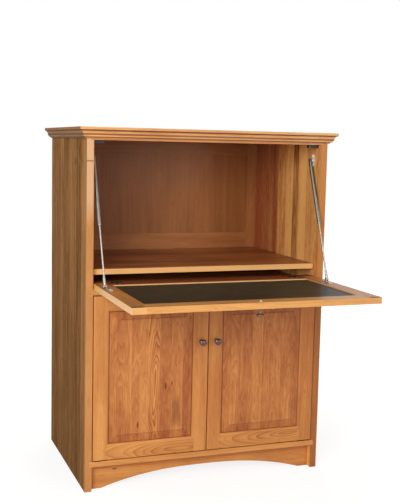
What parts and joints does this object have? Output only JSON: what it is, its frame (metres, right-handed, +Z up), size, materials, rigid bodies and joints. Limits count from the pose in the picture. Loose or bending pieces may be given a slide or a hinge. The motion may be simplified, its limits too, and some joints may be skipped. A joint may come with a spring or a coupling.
{
  "type": "computer armoire",
  "caption": "Cherry computer armoire with a drop-front writing flap on telescopic stays, an open monitor bay and raised-panel doors below.",
  "frame": {"origin": "middle of the base, on the floor, halfway between the flap's free edge and the back", "axes": "+X to the right as seen from the front, +Y to the back, +Z up"},
  "size_m": [0.962, 1.068, 1.27],
  "materials": {
    "cherry": "satin",
    "cherry_panel": "satin",
    "back_panel": "satin",
    "writing_surface": "matte",
    "nickel": "polished",
    "brass": "satin",
    "dark_steel": "satin",
    "bronze": "satin",
    "black_plastic": "matte"
  },
  "bodies": {
    "case": {"apron": "cherry", "back_panel_lower": "back_panel", "back_panel_upper": "back_panel", "back_rail_bottom": "cherry", "back_rail_middle": "cherry", "back_rail_top": "cherry", "back_stile_left": "cherry", "back_stile_right": "cherry", "bottom_board": "cherry", "case_pivots": "brass", "catch_plates": "dark_steel", "corner_blocks": "cherry", "crown_front": "cherry", "crown_left": "cherry", "crown_right": "cherry", "divider_board": "cherry", "door_catch": "black_plastic", "flap_catches": "black_plastic", "hinge_rail": "cherry", "lid_panel": "cherry", "lower_shelf": "cherry", "monitor_shelf": "cherry", "rail_hinge_leaves": "brass", "shelf_cleats": "cherry", "shelf_pins": "brass", "side_left": "cherry", "side_right": "cherry", "stay_plates": "nickel", "top_board": "cherry"},
    "flap": {"flap_stile_left": "cherry", "flap_stile_right": "cherry", "flap_front_rail": "cherry", "flap_rear_rail": "cherry", "flap_panel": "cherry_panel", "writing_surface": "writing_surface", "flap_hinge_leaves": "brass", "flap_strikes": "dark_steel", "flap_knob": "bronze", "flap_knob_screw": "dark_steel", "stay_feet": "nickel"},
    "stay_rod_left": {"stay_rod_left": "nickel"},
    "stay_rod_right": {"stay_rod_right": "nickel"},
    "stay_tube_left": {"stay_tube_left": "nickel"},
    "stay_tube_right": {"stay_tube_right": "nickel"},
    "door_left": {"door_left_bottom_rail": "cherry", "door_left_fittings": "dark_steel", "door_left_hinge_stile": "cherry", "door_left_knob": "bronze", "door_left_meeting_stile": "cherry", "door_left_panel": "cherry_panel", "door_left_top_rail": "cherry"},
    "door_right": {"door_right_bottom_rail": "cherry", "door_right_fittings": "dark_steel", "door_right_hinge_stile": "cherry", "door_right_knob": "bronze", "door_right_meeting_stile": "cherry", "door_right_panel": "cherry_panel", "door_right_top_rail": "cherry"}
  },
  "joints": [
    {"name": "flap_fold", "type": "hinge", "parent": "case", "child": "flap", "pos_m": [0, -0.047, 0.737], "axis": [-1, 0, 0], "range_deg": [0, 90]},
    {"name": "stay_left_swing", "type": "hinge", "parent": "flap", "child": "stay_rod_left", "pos_m": [-0.4132, -0.174, 0.7448], "axis": [1, 0, 0], "range_deg": [0, 105.5]},
    {"name": "stay_left_slide", "type": "slide", "parent": "stay_rod_left", "child": "stay_tube_left", "axis": [0, -0.3671, -0.9302], "range_m": [0, 0.15]},
    {"name": "stay_right_swing", "type": "hinge", "parent": "flap", "child": "stay_rod_right", "pos_m": [0.4132, -0.174, 0.7448], "axis": [1, 0, 0], "range_deg": [0, 105.5]},
    {"name": "stay_right_slide", "type": "slide", "parent": "stay_rod_right", "child": "stay_tube_right", "axis": [0, -0.3671, -0.9302], "range_m": [0, 0.15]},
    {"name": "door_left_swing", "type": "hinge", "parent": "case", "child": "door_left", "pos_m": [-0.4155, -0.062, 0.4], "axis": [0, 0, -1], "range_deg": [0, 110]},
    {"name": "door_right_swing", "type": "hinge", "parent": "case", "child": "door_right", "pos_m": [0.4155, -0.062, 0.4], "axis": [0, 0, 1], "range_deg": [0, 110]}
  ],
  "couplings": [
    {"joint": "stay_left_swing", "follows": "flap_fold", "ratio": 1.1717},
    {"joint": "stay_left_slide", "follows": "flap_fold", "m_per_rad": 0.095042},
    {"joint": "stay_right_swing", "follows": "flap_fold", "ratio": 1.1717},
    {"joint": "stay_right_slide", "follows": "flap_fold", "m_per_rad": 0.095042}
  ]
}
